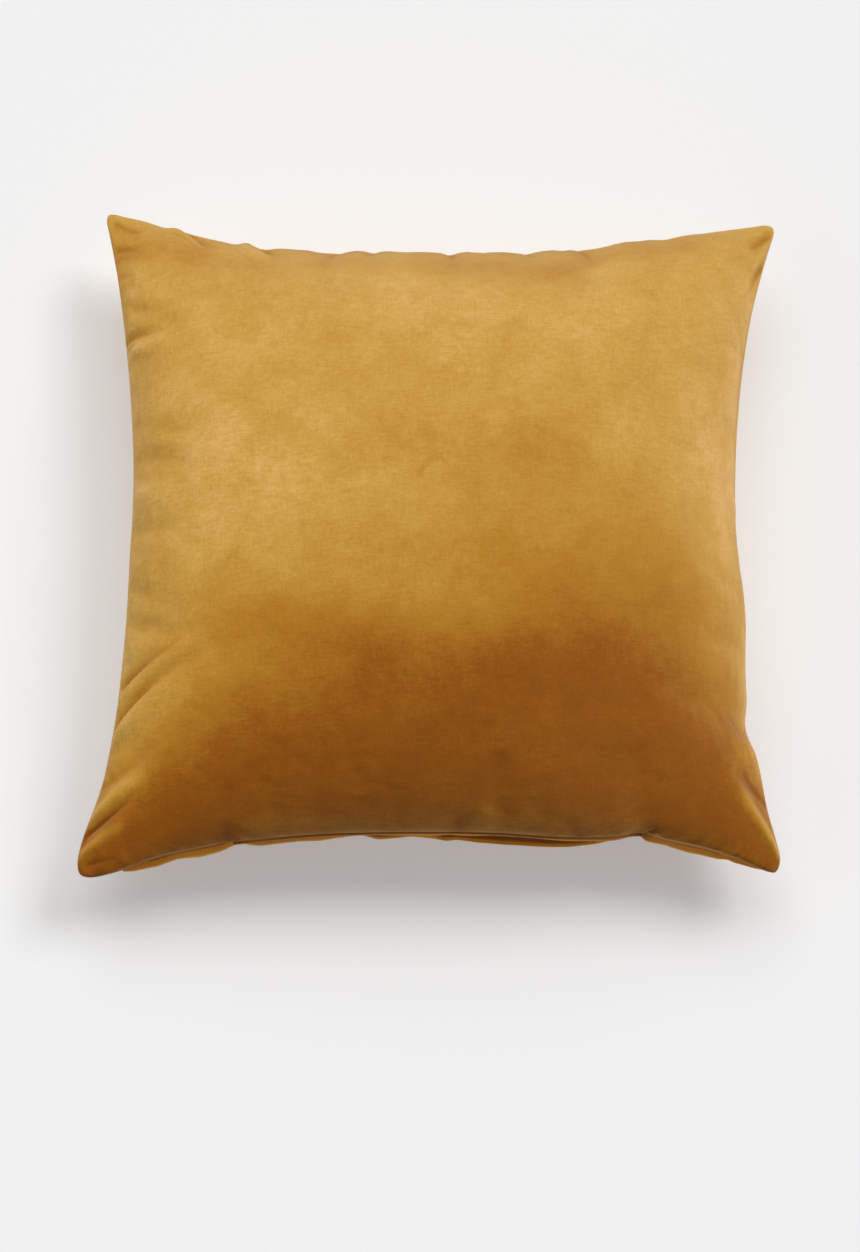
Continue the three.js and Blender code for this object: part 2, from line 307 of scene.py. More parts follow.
folds = rows(
    "x y to_x to_y width depth bow",
    [
        # the fan of pleats on the left side
        (-232, -98, -128, -58, 7, -4.6, 1),
        (-232, -112, -118, -62, 8, 3.6, 8),
        (-234, -126, -122, -72, 7, -4.4, 7),
        (-236, -134, -112, -76, 12, 4.4, 4),
        # the lower left ear
        (-250, -178, -182, -142, 7, -2.2, 2),
        (-250, -200, -152, -132, 9, 4.4, 2),
        (-250, -217, -172, -158, 7, -4.0, 1),
        (-248, -229, -186, -184, 7, 3.4, 0),
        (-234, -236, -206, -230, 8, -1.6, 0),
        # the upper left ear and the pleat below it
        (-240, 236, -206, 216, 8, -2.6, 0),
        (-246, 206, -190, 184, 9, -3.0, 3),
        (-248, 183, -206, 164, 8, -2.2, 0),
        (-216, 138, -152, 124, 12, -1.6, 0),
        (-242, 127, -170, 114, 6, -4.8, -3),
        (-246, 114, -166, 106, 6, 3.2, -3),
        # soft gathers down the left side
        (-232, 62, -158, 47, 9, -1.5, 2),
        (-244, 41, -148, 28, 9, -2.4, 2),
        (-182, 23, -146, 17, 7, -1.5, 0),
        (-244, 20, -160, 13, 9, 2.0, 0),
        (-244, 0, -166, -6, 8, -2.2, 0),
        (-222, -36, -136, -47, 12, -1.8, 0),
        (-246, -56, -156, -62, 9, -2.0, 2),
        # the upper right ear
        (246, 234, 218, 208, 8, -3.4, 0),
        (247, 208, 226, 168, 8, -3.4, 0),
        (244, 226, 214, 150, 6, 1.8, 2),
        (246, 126, 206, 132, 10, -2.0, 0),
        (246, 60, 190, 63, 11, -2.0, 0),
        (246, 14, 190, 38, 10, 2.2, 0),
        # the nip and the ridges of the lower right ear
        (249, -130, 192, -110, 7, -3.8, 3),
        (249, -150, 190, -136, 12, 2.4, 0),
        (250, -190, 200, -150, 9, -2.4, 2),
        (246, -226, 176, -140, 10, 4.4, 0),
        # pleats and notches of the upper side
        (-192, 248, -148, 198, 9, 3.6, 2),
        (-178, 249, -136, 202, 7, -4.6, 2),
        (-134, 248, -96, 178, 9, 3.6, 3),
        (-122, 249, -88, 184, 7, -3.8, 3),
        (-67, 249, -60, 176, 7, -4.0, 0),
        (-44, 249, -38, 184, 6, -3.2, 0),
        (4, 249, 8, 170, 7, -4.6, 2),
        (56, 249, 48, 186, 6, -3.0, 0),
        (92, 249, 84, 172, 7, -4.6, -2),
        (158, 249, 150, 196, 9, -1.6, 0),
        # pinches of the lower side
        (139, -249, 136, -226, 5, -3.4, -2),
        (124, -249, 118, -206, 9, 1.6, 0),
        (19, -249, 13, -196, 7, -2.2, 0),
        (34, -226, 24, -172, 8, 1.4, 0),
        (98, -249, 72, -196, 8, -2.4, 3),
        (-128, -249, -112, -206, 9, -1.8, 0),
    ],
)


crease_sharpness = 1.7
crease_round = 0.05


def ridge(q):
    """exp(-q**2)."""
    return np.exp(-q * q)


def trough(q):
    """exp(-sharpness * (sqrt(q**2 + round) - sqrt(round))), a crease with a rounded bottom."""
    return np.exp(-crease_sharpness * (np.sqrt(q * q + crease_round) - math.sqrt(crease_round)))


def along_line(x, y, row):
    """How far along a row's line a place lies, from 0 to 1, and its signed distance aside from the line,
    which bends by bow * 4 * run * (1 - run)."""
    along_x, along_y = row["to_x"] - row["x"], row["to_y"] - row["y"]
    length = math.hypot(along_x, along_y)
    forward = ((x - row["x"]) * along_x + (y - row["y"]) * along_y) / length
    sideways = ((y - row["y"]) * along_x - (x - row["x"]) * along_y) / length
    run = np.clip(forward / length, 0, 1)
    if "bow" in row.dtype.names:
        sideways = sideways - row["bow"] * 4 * run * (1 - run)
    beyond = forward - run * length
    return run, np.where(sideways < 0, -1, 1) * np.hypot(sideways, beyond)


def fold_height(s, t, table):
    """Sum over the folds of depth * (1 - run**2) * profile(aside / wide), where a fold grows from half
    its width at its start to the whole width."""
    height = np.zeros_like(s)
    for fold in table:
        run, aside = along_line(s * half, t * half, fold)
        profile = ridge if fold["depth"] > 0 else trough
        height += fold["depth"] * (1 - run**2) * profile(aside / (fold["width"] * (0.5 + 0.5 * run)))
    return height


def from_seam(s, t):
    """Millimetres of cloth from the nearest seam."""
    return half * (1 - np.maximum(np.abs(s), np.abs(t)))


seam_calm = 11.0
calm_reach = 56.0
calm_share = {"left": 1.0, "right": 0.85, "lower": 0.8, "upper": 0.2}
back_share = 0.6


def away_from(side, s, t):
    """Millimetres of cloth from that side's seam."""
    return half * {"left": 1 + s, "right": 1 - s, "lower": 1 + t, "upper": 1 - t}[side]


def level_share(s, t):
    """How much of the level part of a fold's direction is kept: near a seam little of it, so that folds
    rise there without shifting the outline."""
    share = np.ones_like(s)
    for side, calm in calm_share.items():
        share = share * (1 - calm * (1 - smooth_step(away_from(side, s, t), 0, calm_reach)))
    return share


def folded(points, s, t, face):
    """The points moved along their normals by the folds, which are calm at the seam and shallower on
    the back."""
    share = 1.0 if face > 0 else back_share
    height = share * fold_height(s, t, folds) * smooth_step(from_seam(s, t), 0, seam_calm)
    direction = normals_of(points, face)
    direction[..., :2] *= level_share(s, t)[..., None]
    return points + height[..., None] * direction


# %% [markdown]
# ## Grids that close
#
# Both panels are grids over the same cloth parameters and share the points of their rim, so the cover
# is one closed surface. The lines may lie closer together towards the seams, where the cloth turns
# fast: `even + closer * (sin(even * pi / 2) - even)`.

# %% Grids that close
def cloth_lines(cells, closer):
    """Cloth parameters of the grid's lines, from -1 to 1."""
    even = np.linspace(-1, 1, cells + 1)
    return even + closer * (np.sin(even * np.pi / 2) - even)


def cover_faces(cells):
    """Point numbers of the front and back grids, with one rim, and the quads of both, facing out."""
    size = cells + 1
    front = np.arange(size * size).reshape(size, size)
    inner = np.zeros((size, size), bool)
    inner[1:-1, 1:-1] = True
    back = front.copy()
    back[inner] = size * size + np.arange(inner.sum())

    def quads(grid):
        return np.stack([grid[:-1, :-1], grid[1:, :-1], grid[1:, 1:], grid[:-1, 1:]], -1).reshape(-1, 4)

    return front, back, np.concatenate([quads(front), quads(back)[:, ::-1]])


def new_mesh(name, points, faces):
    """A mesh from an array of points in millimetres and a list of faces by point numbers."""
    mesh = bpy.data.meshes.new(name)
    mesh.from_pydata((points * 0.001).tolist(), [], faces)
    mesh.update()
    return mesh


def add_piece(name, points, faces):
    """A smooth-shaded object of the scene."""
    mesh = new_mesh(name, points, faces)
    mesh.polygons.foreach_set("use_smooth", np.ones(len(mesh.polygons), bool))
    piece = bpy.data.objects.new(name, mesh)
    bpy.context.scene.collection.objects.link(piece)
    print(name, "box in mm", points.min(0).round(1), points.max(0).round(1))
    return piece


# %% [markdown]
# ## Wrinkles from a cloth simulation
#
# Near the seams a flat square has more cloth than the filled form, so it puckers. A cloth simulation finds
# those puckers. The cover starts in its filled form, with the listed folds and a little seeded unevenness as
# a first push. Its threads are a little longer than the form needs, the seam is pinned and the filling
# presses from inside. Only the short waves of the result are kept, so that the outline and the crown stay
# those of the imported model.

# %% Wrinkles from a cloth simulation
sim_cells = 88
sim_frames = 28
surplus = 0.009
unevenness = 0.25
wrinkle_cap = 7.0
longest_wave = 30.0
near_share = 0.3
near_from, near_to = 30.0, 110.0
push_seed = 7


def surplus_share(s, t):
    """1 where there is spare cloth, falling to 0 on the ears."""
    return 1 - smooth_step(np.abs(s * t), 0.55, 0.85)


def simulate_wrinkles():
    """How far the cloth moves, in millimetres, on the grids of the front and the back."""
    started = time.time()
    line = cloth_lines(sim_cells, 0.0)
    s, t = np.meshgrid(line, line, indexing="ij")
    front, back, faces = cover_faces(sim_cells)
    start = np.zeros((back.max() + 1, 3))
    start[back] = folded(smooth_panel(s, t, -1), s, t, -1)
    start[front] = folded(smooth_panel(s, t, 1), s, t, 1)
    start += np.random.default_rng(push_seed).normal(0, unevenness, start.shape)

    cover = bpy.data.objects.new("sim_cover", new_mesh("sim_cover", start, faces.tolist()))
    bpy.context.scene.collection.objects.link(cover)
    seam = cover.vertex_groups.new(name="seam")
    rim = np.unique(np.concatenate([front[0], front[-1], front[:, 0], front[:, -1]]))
    seam.add(rim.tolist(), 1.0, "REPLACE")
    taut = cover.vertex_groups.new(name="taut")
    weights = np.zeros(len(start))
    for grid in (back, front):
        weights[grid] = np.round(1 - surplus_share(s, t), 2)
    for weight in np.unique(weights):
        taut.add(np.flatnonzero(weights == weight).tolist(), float(weight), "REPLACE")

    cloth = cover.modifiers.new("cloth", "CLOTH")
    velvet = cloth.settings
    velvet.vertex_group_mass = "seam"
    velvet.vertex_group_shrink = "taut"
    velvet.shrink_min = -surplus
    velvet.shrink_max = 0.0
    velvet.quality = 6
    velvet.mass = 0.35
    velvet.tension_stiffness = 30
    velvet.compression_stiffness = 30
    velvet.shear_stiffness = 4
    velvet.bending_stiffness = 0.005
    velvet.tension_damping = 8
    velvet.compression_damping = 8
    velvet.shear_damping = 5
    velvet.use_pressure = True
    velvet.uniform_pressure_force = 8.0
    velvet.effector_weights.gravity = 0
    cloth.collision_settings.use_collision = False

    for step in range(1, sim_frames + 1):
        bpy.context.scene.frame_set(step)
    settled = cover.evaluated_get(bpy.context.evaluated_depsgraph_get()).data
    points = np.empty(len(settled.vertices) * 3, np.float32)
    settled.vertices.foreach_get("co", points)
    moved = points.reshape(-1, 3) * 1000.0 - start
    bpy.data.objects.remove(cover)
    bpy.context.scene.frame_set(1)
    largest = float(np.abs(moved).max())
    print("simulated in", round(time.time() - started, 1), "s, largest move in mm:", round(largest, 1))
    return {1: moved[front], -1: moved[back]}


def blur_matrix(cells, width):
    """Rows that average the grid's lines with a bell of that width, in millimetres."""
    line = cloth_lines(cells, 0.0) * half
    shares = bell(line[:, None] - line[None, :], width)
    return shares / shares.sum(1, keepdims=True)


def short_waves(moved):
    """The move less its average over the longest wave, capped, calm at the seam and near the lower
    side, and with little level motion near the seam."""
    blur = blur_matrix(sim_cells, longest_wave)
    average = np.einsum("ai,bj,ijk->abk", blur, blur, moved)
    waves = moved - average
    line = cloth_lines(sim_cells, 0.0)
    s, t = np.meshgrid(line, line, indexing="ij")
    calm = smooth_step(from_seam(s, t), 0, seam_calm)
    from_lower = smooth_step(away_from("lower", s, t), near_from, near_to)
    calm = calm * (near_share + (1 - near_share) * from_lower)
    waves = waves * calm[..., None]
    waves[..., :2] *= level_share(s, t)[..., None]
    length = np.linalg.norm(waves, axis=-1, keepdims=True)
    return waves * wrinkle_cap * np.tanh(length / wrinkle_cap) / np.maximum(length, 1e-9)


wrinkles = {face: short_waves(m) for face, m in simulate_wrinkles().items()}
if wrinkles:
    print("wrinkles, root mean square in mm:", round(float(np.sqrt((wrinkles[1] ** 2).sum(-1).mean())), 2))


def cubic_rows(line, cells):
    """Rows of a matrix that carries values on an even grid to other lines, by Catmull-Rom cubics."""
    place = (line + 1) / 2 * cells
    base = np.clip(np.floor(place).astype(int), 0, cells - 1)
    k = place - base
    weights = [
        -0.5 * k + k**2 - 0.5 * k**3,
        1 - 2.5 * k**2 + 1.5 * k**3,
        0.5 * k + 2 * k**2 - 1.5 * k**3,
        -0.5 * k**2 + 0.5 * k**3,
    ]
    matrix = np.zeros((len(line), cells + 1))
    for offset, weight in zip((-1, 0, 1, 2), weights):
        np.add.at(matrix, (np.arange(len(line)), np.clip(base + offset, 0, cells)), weight)
    return matrix


# %% [markdown]
# ## The cushion
#
# The finished cover is the same form on a fine grid, with the folds, the wrinkles and the sewn edge.
# At the seam both panels turn inwards to the stitching, so a narrow valley runs round the cushion.
# Where the seam rolls towards the front, the edge of the back panel shows beside it.

# %% The cushion
fine_cells = 208
fine_closer = 0.6
valley_depth = 1.5
valley_width = 2.0
valley_hold = 4
rest_blend = 7.0
roll_reach = {1: 30.0, -1: 3.2}

seam_rolls = [
    dict(side="left", at=-165, width=55, roll=3.8),
    dict(side="right", at=110, width=85, roll=2.6),
]
seam_pulls = [
    dict(side="lower", at=146, width=4.5, pull=3.2),
    dict(side="lower", at=0, width=170, pull=0.8),
    dict(side="lower", at=-134, width=9, pull=1.4),
    dict(side="right", at=-141, width=6, pull=1.5),
]


def rest(z):
    """z above the surface, 0 below it, and (z + blend) ** 2 / (4 blend) between them."""
    k = np.clip(z, -rest_blend, rest_blend)
    return np.where(z > rest_blend, z, (k + rest_blend) ** 2 / (4 * rest_blend))


def sewn_edge(points, s, t, face):
    """The points moved inwards by valley_depth * bell(distance from the seam), more where a stitch
    pulls and less where the seam rolls to the front. There they move inwards and up by roll * bell, over
    a much wider strip on the front than on the back, whose edge stays out and shows."""
    x, y = s * half, t * half
    reach = roll_reach[face]
    for name, along, away in (
        ("left", y, half + x),
        ("right", y, half - x),
        ("lower", x, half + y),
        ("upper", x, half - y),
    ):
        inward = np.array([*sides[name]["inward"], 0.0])
        ends = 1 - (along / half) ** valley_hold
        pull = swelling(seam_pulls, name, along, "pull")
        roll = swelling(seam_rolls, name, along, "roll")
        valley = (valley_depth + pull) * bell(away, valley_width + pull) * ends * np.exp(-roll)
        points = points + valley[..., None] * inward
        turn = roll * bell(away, reach) * ends
        points = points + turn[..., None] * (inward + np.array([0, 0, 1.0]))
    return points


def finished_panel(s, t, line, face):
    """Smooth panel, folds, wrinkles, sewn edge, and the flat patch where the cushion lies."""
    points = folded(smooth_panel(s, t, face), s, t, face)
    if wrinkles:
        carry = cubic_rows(line, sim_cells)
        points = points + np.einsum("ai,bj,ijk->abk", carry, carry, wrinkles[face])
    points = sewn_edge(points, s, t, face)
    points[..., 2] = rest(points[..., 2])
    return points


fine_line = cloth_lines(fine_cells, fine_closer)
fine_s, fine_t = np.meshgrid(fine_line, fine_line, indexing="ij")
front_grid, back_grid, cover_quads = cover_faces(fine_cells)
cover_points = np.zeros((back_grid.max() + 1, 3))
cover_points[back_grid] = finished_panel(fine_s, fine_t, fine_line, -1)
cover_points[front_grid] = finished_panel(fine_s, fine_t, fine_line, 1)

cushion = add_piece("velvet_cushion", cover_points, cover_quads.tolist())

cloth_uv = np.zeros((len(cover_points), 2))
cloth_uv[back_grid] = np.stack([fine_s, fine_t], -1)
cloth_uv[front_grid] = np.stack([fine_s, fine_t], -1)
loop_points = np.empty(len(cushion.data.loops), np.int32)
cushion.data.loops.foreach_get("vertex_index", loop_points)
loop_uv = (cloth_uv[loop_points] * half * 0.001).astype(np.float32)
cushion.data.uv_layers.new(name="cloth").data.foreach_set("uv", loop_uv.ravel())
print("cushion:", len(cover_quads) * 2, "triangles")

# %% [markdown]
# ## Laps of the zip
#
# Along the lower edge both panels end in laps that hide the zip. A lap is velvet folded double: its
# inner edge is caught in the seam, under the front panel, and its outer edge is a soft fold, thicker
# than the rest. Nobody irons it, so its width and its slope change on the way. The tables give them
# where they change, and the section is carried along the seam between their rows. The lower lap flares
# at its outer edge, and dark slits open where it parts from the upper one.

# %% Laps of the zip
lap_soften = 2.0
lap_end = 3.0
lap_tuck = 26.0
end_width = 0.6
end_thickness = 0.15
inner_thickness = 0.4
thickening = 1.5

upper_lap_rows = rows(
    "x width slope",
    [
        (-214, 6.0, 64),
        (-206, 8.6, 58),
        (-190, 9.9, 55),
        (-181, 9.0, 56),
        (-176, 8.6, 60),
        (-160, 11.0, 57),
        (-147, 9.8, 58),
        (-131, 6.8, 66),
        (-118, 10.4, 63),
        (-91, 9.8, 64),
        (-76, 10.8, 64),
        (-60, 9.0, 68),
        (-46, 7.2, 70),
        (-30, 8.0, 68),
        (5, 9.0, 68),
        (14, 7.8, 70),
        (27, 8.8, 68),
        (50, 7.4, 70),
        (72, 7.2, 70),
        (95, 8.0, 68),
        (130, 7.8, 66),
        (143, 5.8, 70),
        (153, 9.2, 60),
        (165, 7.9, 64),
        (182, 9.9, 61),
        (203, 8.6, 62),
        (209, 6.0, 66),
        (214, 6.4, 62),
        (226, 5.0, 62),
        (236, 2.4, 62),
    ],
)
lower_lap_rows = rows(
    "x width slope",
    [
        (-54, 5.0, 74),
        (-45, 7.0, 66),
        (-36, 8.4, 54),
        (-24, 8.0, 60),
        (-12, 7.6, 68),
        (4, 8.2, 58),
        (12, 9.4, 50),
        (20, 9.0, 56),
        (34, 10.4, 50),
        (52, 11.0, 48),
        (78, 10.6, 50),
        (98, 9.8, 53),
        (118, 8.0, 62),
        (138, 5.0, 74),
    ],
)


def between_rows(x, table, column, soften=lap_soften, samples=7):
    """Straight lines between the rows of a table, averaged over that many millimetres both ways."""
    offsets = np.linspace(-soften, soften, samples)
    return sum(np.interp(x + offset, table["x"], table[column]) for offset in offsets) / len(offsets)


def lower_seam(x):
    """Points of the stitched lower seam at those cloth places, and the level direction out from it."""
    t = (x / half)[:, None]
    line = sewn_edge(smooth_panel(t, -np.ones_like(t), 1), t, -np.ones_like(t), 1)[:, 0]
    tangent = np.gradient(line, axis=0)
    tangent[:, 2] = 0
    tangent /= np.linalg.norm(tangent, axis=1, keepdims=True)
    return line, np.stack([tangent[:, 1], -tangent[:, 0], np.zeros(len(x))], -1)


def lap_points(x, w, side, table, seat, thick, curl):
    """Places on a lap, w from its inner edge (0) to its fold (1), on its outer (1) or inner (-1) skin.
    The middle line leaves the seat at slope + curl / 2 and bends to slope - curl / 2. The skins stand
    thick / 2 from it, thinner at the inner edge, and at each end the strip rounds off."""
    line, outward = lower_seam(x)
    from_end = np.minimum(x - table["x"][0], table["x"][-1] - x)[:, None]
    round_end = np.sqrt(1 - (1 - np.clip(from_end / lap_end, 0, 1)) ** 2)
    tucked = 1 - smooth_step(from_end, 0, lap_tuck)
    wide = between_rows(x, table, "width")[:, None] * (end_width + (1 - end_width) * round_end)
    slope = between_rows(x, table, "slope")[:, None]
    chord = np.radians(slope + curl * (0.5 - w / 2))
    here = np.radians(slope + curl * (0.5 - w))
    skin = side * thick / 2 * (inner_thickness + (1 - inner_thickness) * w**thickening)
    skin = skin * (end_thickness + (1 - end_thickness) * round_end)
    out = seat[0] - tucked + wide * w * np.cos(chord) + skin * np.sin(here)
    fall = seat[1] - tucked + wide * w * np.sin(chord) - skin * np.cos(here)
    points = line[:, None, :] + outward[:, None, :] * out[..., None]
    points[..., 2] -= fall
    return points


def tube_faces(rings, around):
    """Quads between rings of points, with a fan to one more point at each end, facing out."""
    grid = np.arange(rings * around).reshape(rings, around)
    ahead = np.roll(grid, -1, axis=1)
    quads = np.stack([grid[:-1], ahead[:-1], ahead[1:], grid[1:]], -1).reshape(-1, 4)
    first, last = rings * around, rings * around + 1
    fans = [(first, b, a) for a, b in zip(grid[0], ahead[0])]
    fans += [(last, a, b) for a, b in zip(grid[-1], ahead[-1])]
    return quads.tolist() + [tuple(int(i) for i in fan) for fan in fans]


lap_around = 24
lap_angles = np.linspace(0, 2 * np.pi, lap_around, endpoint=False)
lap_across = (1 - np.cos(lap_angles)) / 2


def lap(name, table, seat, thick, curl, step=1.2):
    """A closed strip: w = (1 - cos a) / 2 across it and sin(a) through it, round each section."""
    count = int((table["x"][-1] - table["x"][0]) / step)
    x = np.linspace(table["x"][0], table["x"][-1], count)
    points = lap_points(x, lap_across[None, :], np.sin(lap_angles)[None, :], table, seat, thick, curl)
    ends = points[[0, -1]].mean(axis=1)
    faces = tube_faces(count, lap_around)
    return add_piece(name, np.concatenate([points.reshape(-1, 3), ends]), faces)


upper_form = dict(table=upper_lap_rows, seat=(-1.3, 1.5), thick=3.2, curl=30)
lower_form = dict(table=lower_lap_rows, seat=(-0.6, 5.0), thick=1.6, curl=66)
upper_lap = lap("zip_lap_front", **upper_form)
lower_lap = lap("zip_lap_back", **lower_form)

# %% [markdown]
# ## Bar tacks
#
# The ends of the zip are secured by a few stitches side by side, which cross the groove between the
# front panel and the upper lap. Each stitch is a thin tube along a low arch, and all of them are one mesh.

# %% Bar tacks
thread_width = 0.42
thread_inset = 2.0
thread_end = 0.25
thread_arch = np.array([0, -0.9, 0.7])
tacks = rows("x stitches pitch lean", [(-201, 4, 1.3, -0.8), (203, 4, 1.1, 0.6)])


def stitches(table, steps=9, around=6):
    """Tubes along arches: from the front panel, just inside the seam, to a quarter of the lap's width,
    by (1 - k)**2 a + 2 k (1 - k) top + k**2 b, where the top stands a little proud."""
    k = np.linspace(0, 1, steps)[:, None]
    angle = np.linspace(0, 2 * np.pi, around, endpoint=False)
    faces, points = [], []
    for tack in table:
        for number in range(int(tack["stitches"])):
            x = np.array([0.0, 1.0]) + tack["x"] + number * tack["pitch"]
            s, t = (x / half)[:, None], np.full((2, 1), -1 + thread_inset / half)
            a = sewn_edge(smooth_panel(s, t, 1), s, t, 1)[0, 0]
            b = lap_points(x + tack["lean"], np.array([[thread_end]]), 1, **upper_form)[0, 0]
            top = (a + b) / 2 + thread_arch
            path = (1 - k) ** 2 * a + 2 * k * (1 - k) * top + k**2 * b
            tangent = np.gradient(path, axis=0)
            tangent /= np.linalg.norm(tangent, axis=1, keepdims=True)
            side = np.cross(tangent, np.array([1.0, 0, 0]))
            side /= np.linalg.norm(side, axis=1, keepdims=True)
            other = np.cross(tangent, side)
            ring = side[:, None] * np.cos(angle)[None, :, None]
            ring = ring + other[:, None] * np.sin(angle)[None, :, None]
            tube = path[:, None] + ring * thread_width / 2
            first = sum(len(p) for p in points)
            faces += [tuple(first + i for i in face) for face in tube_faces(steps, around)]
            points.append(np.concatenate([tube.reshape(-1, 3), path[[0, -1]]]))
    return np.concatenate(points), faces


tack_threads = add_piece("zip_bar_tacks", *stitches(tacks))

# %% [markdown]
# ## Painted light and shade of the pile
#
# Velvet looks deep where one sees down into its pile and golden where one sees along the fibres. Here that
# light and shade is painted into the colour, and the points keep it as a number: 0 for the deepest painted
# shade, 1 for painted light, more for a painted sheen. The far half is painted golden and the near one deep,
# and the line between them wanders. There are soft lighter and darker patches, painted highlights on the
# ridges of folds and painted shade in their troughs, and beside the lower seam the pile is combed into short
# streaks. Right at the seam, over the laps and where it rolls to the front, a line of painted shade runs.
# The sharpest creases are thinner than the grid's squares, so the points keep their distance from the
# nearest crease and the material paints it as a thin line of shade.

# %% Painted light and shade of the pile
# Painted light and shade of the pile, kept on the points: the least of it, the brightest (a painted sheen),
# and the threads' own tone.
least_painted_light = 0.1
brightest_painted_light = 1.6
thread_tone = 0.9
# The far half is painted light and the near half painted shade, and the dusk line parts them.
dusk_rise = 0.88
dusk_reach = 86.0
dusk_soften = 20.0
# Painted highlight on the ridges of folds and painted shade in their troughs, for each millimetre of height.
fold_painted_light = 0.08
dusk_line = rows(
    "x y",
    [
        (-250, -170),
        (-200, -135),
        (-160, -108),
        (-120, -84),
        (-80, -66),
        (-40, -54),
        (0, -44),
        (40, -26),
        (80, -26),
        (120, -36),
        (160, -58),
        (200, -84),
        (250, -150),
    ],
)
# Patches of painted light and shade, and lighter and darker patches of the middle, each a lift along a line.
painted_light_and_tone_patches = rows(
    "x y to_x to_y width lift",
    [
        # painted shade of the far band under the upper seam
        (-180, 228, 180, 228, 20, -0.16),
        (-140, 188, -100, 180, 20, -0.22),
        (-62, 190, -38, 184, 16, -0.24),
        (8, 180, 60, 170, 22, -0.34),
        (92, 196, 150, 200, 18, -0.28),
        (-245, 205, -160, 190, 24, -0.30),
        # lighter and darker patches of the middle
        (-40, 50, 70, 60, 50, -0.05),
        (40, 112, 29, 66, 5, -0.12),
        (62, 56, 100, 62, 16, -0.08),
        (-55, 110, -52, 70, 9, -0.07),
        (-85, 2, -120, 30, 26, 0.14),
        (-30, 130, 90, 118, 30, 0.06),
        (-20, 40, 70, 26, 20, -0.18),
        (126, -10, 150, -40, 24, -0.14),
        (60, -72, 112, -92, 22, -0.05),
        (-120, -50, -28, -76, 20, -0.14),
        (-180, -24, -120, -44, 20, -0.04),
        (-50, -40, 30, -56, 16, 0.15),
        # painted light and shade of the rims, mostly highlights
        (-246, 90, -244, -70, 36, 0.16),
        (226, 110, 232, 20, 20, 0.24),
        (180, 34, 200, 4, 20, 0.22),
        (240, -76, 240, -118, 14, 0.26),
        (244, 170, 240, 120, 14, 0.10),
        (232, -6, 228, -40, 14, -0.35),
        # painted highlights on the ridges and painted shade in the creases of the left side and the lower
        # left ear
        (-232, 32, -160, 28, 5, -0.08),
        (-240, 57, -150, 49, 3, -0.06),
        (-214, -9, -168, -12, 4, -0.06),
        (-216, -46, -150, -45, 3, -0.06),
        (-244, -64, -170, -60, 4, -0.08),
        (-220, -92, -156, -70, 4, -0.14),
        (-222, -117, -184, -94, 4, -0.14),
        (-226, -136, -140, -100, 10, 0.16),
        (-236, -160, -200, -150, 14, 0.16),
        (-242, -194, -176, -152, 7, 0.24),
        (-246, -228, -196, -196, 5, 0.16),
        # painted highlight of the ridge and painted shade of the creases of the lower right ear
        (242, -220, 206, -176, 7, 0.26),
        (246, -138, 190, -114, 5, -0.14),
        (246, -164, 200, -146, 8, 0.14),
        # painted shade in the dimples of the upper ears
        (-238, 232, -214, 222, 6, -0.26),
        (-240, 196, -205, 190, 5, -0.20),
        (-240, 172, -215, 165, 5, -0.14),
        (-196, 128, -150, 121, 5, -0.14),
        (-232, 122, -200, 115, 3, -0.22),
        (242, 236, 226, 216, 6, -0.30),
        (246, 204, 232, 182, 5, -0.30),
        # painted sheen on the band above the laps
        (-110, -240, 200, -240, 12, 0.08),
        (-92, -218, 84, -218, 18, 0.12),
    ],
)
streak_strength = 0.07
streak_reach = 34.0
streak_width = 2.2
streak_seed = 11
# A line of painted shade at the seam, over the laps and where the seam rolls to the front.
seam_shade = 1.1
lap_shade_width = 1.2
lap_shade_from, lap_shade_to = 0.84, 0.9
roll_shade_width = 0.7
# Creases: a thin line of painted shade in the colour, and a groove in the bump.
creases = rows(
    "x y to_x to_y strength bow",
    [
        # between the pleats of the left side and on the lower left ear
        (-228, -95, -138, -62, 0.7, 1),
        (-226, -122, -150, -84, 0.6, 5),
        (-246, -214, -188, -170, 0.6, 1),
        # beside the pleat below the upper left ear
        (-238, 118, -176, 110, 1.0, -2),
        # under the pleats of the upper side
        (-182, 230, -148, 198, 0.8, 2),
        (-128, 217, -101, 172, 0.6, 2),
        # the ears of the right side
        (249, 210, 214, 150, 0.8, 4),
        (250, -134, 184, -112, 0.9, 3),
        # a pinch of the lower side
        (139, -250, 134, -216, 0.8, -1),
        # short marks on the face
        (-10, 12, 2, 27, 0.8, 0),
        (-116, -28, -106, -18, 0.5, 0),
        (-90, -24, -80, -15, 0.5, 0),
        (-240, -42, -190, -20, 0.4, 2),
    ],
)
crease_clip = 12.0
crease_start = 0.15
crease_fade_from, crease_fade_to = 3.0, 6.0


def far_painted_light(s, t):
    """Painted light on the far half and painted shade on the near one: dusk_rise * smooth_step of the
    distance beyond the dusk line.
    """
    line = between_rows(s * half, dusk_line, "y", dusk_soften, samples=9)
    return dusk_rise * smooth_step(t * half - line, -dusk_reach, dusk_reach)


def streaks(s, t):
    """Seeded noise along the lower seam, averaged over streak_width, and fading away from the seam."""
    x = np.linspace(-half, half, 501)
    noise = np.random.default_rng(streak_seed).normal(0, 1, len(x))
    blur = bell(x[:, None] - x[None, :], streak_width)
    noise = blur @ noise / np.sqrt((blur**2).sum(1))
    near = 1 - smooth_step(away_from("lower", s, t), 0, streak_reach)
    return streak_strength * np.interp(s * half, x, noise) * near


def face_tone_and_painted_light(s, t):
    """Painted light of the far half, painted light and shade of the patches by lift * bell(distance from the
    patch's line), streaks, and painted light and shade of the folds for each millimetre of a fold's height."""
    lie = least_painted_light + far_painted_light(s, t) + streaks(s, t) + fold_painted_light * fold_height(s, t, folds)
    for patch in painted_light_and_tone_patches:
        run, aside = along_line(s * half, t * half, patch)
        lie = lie + patch["lift"] * bell(aside, patch["width"])
    return lie


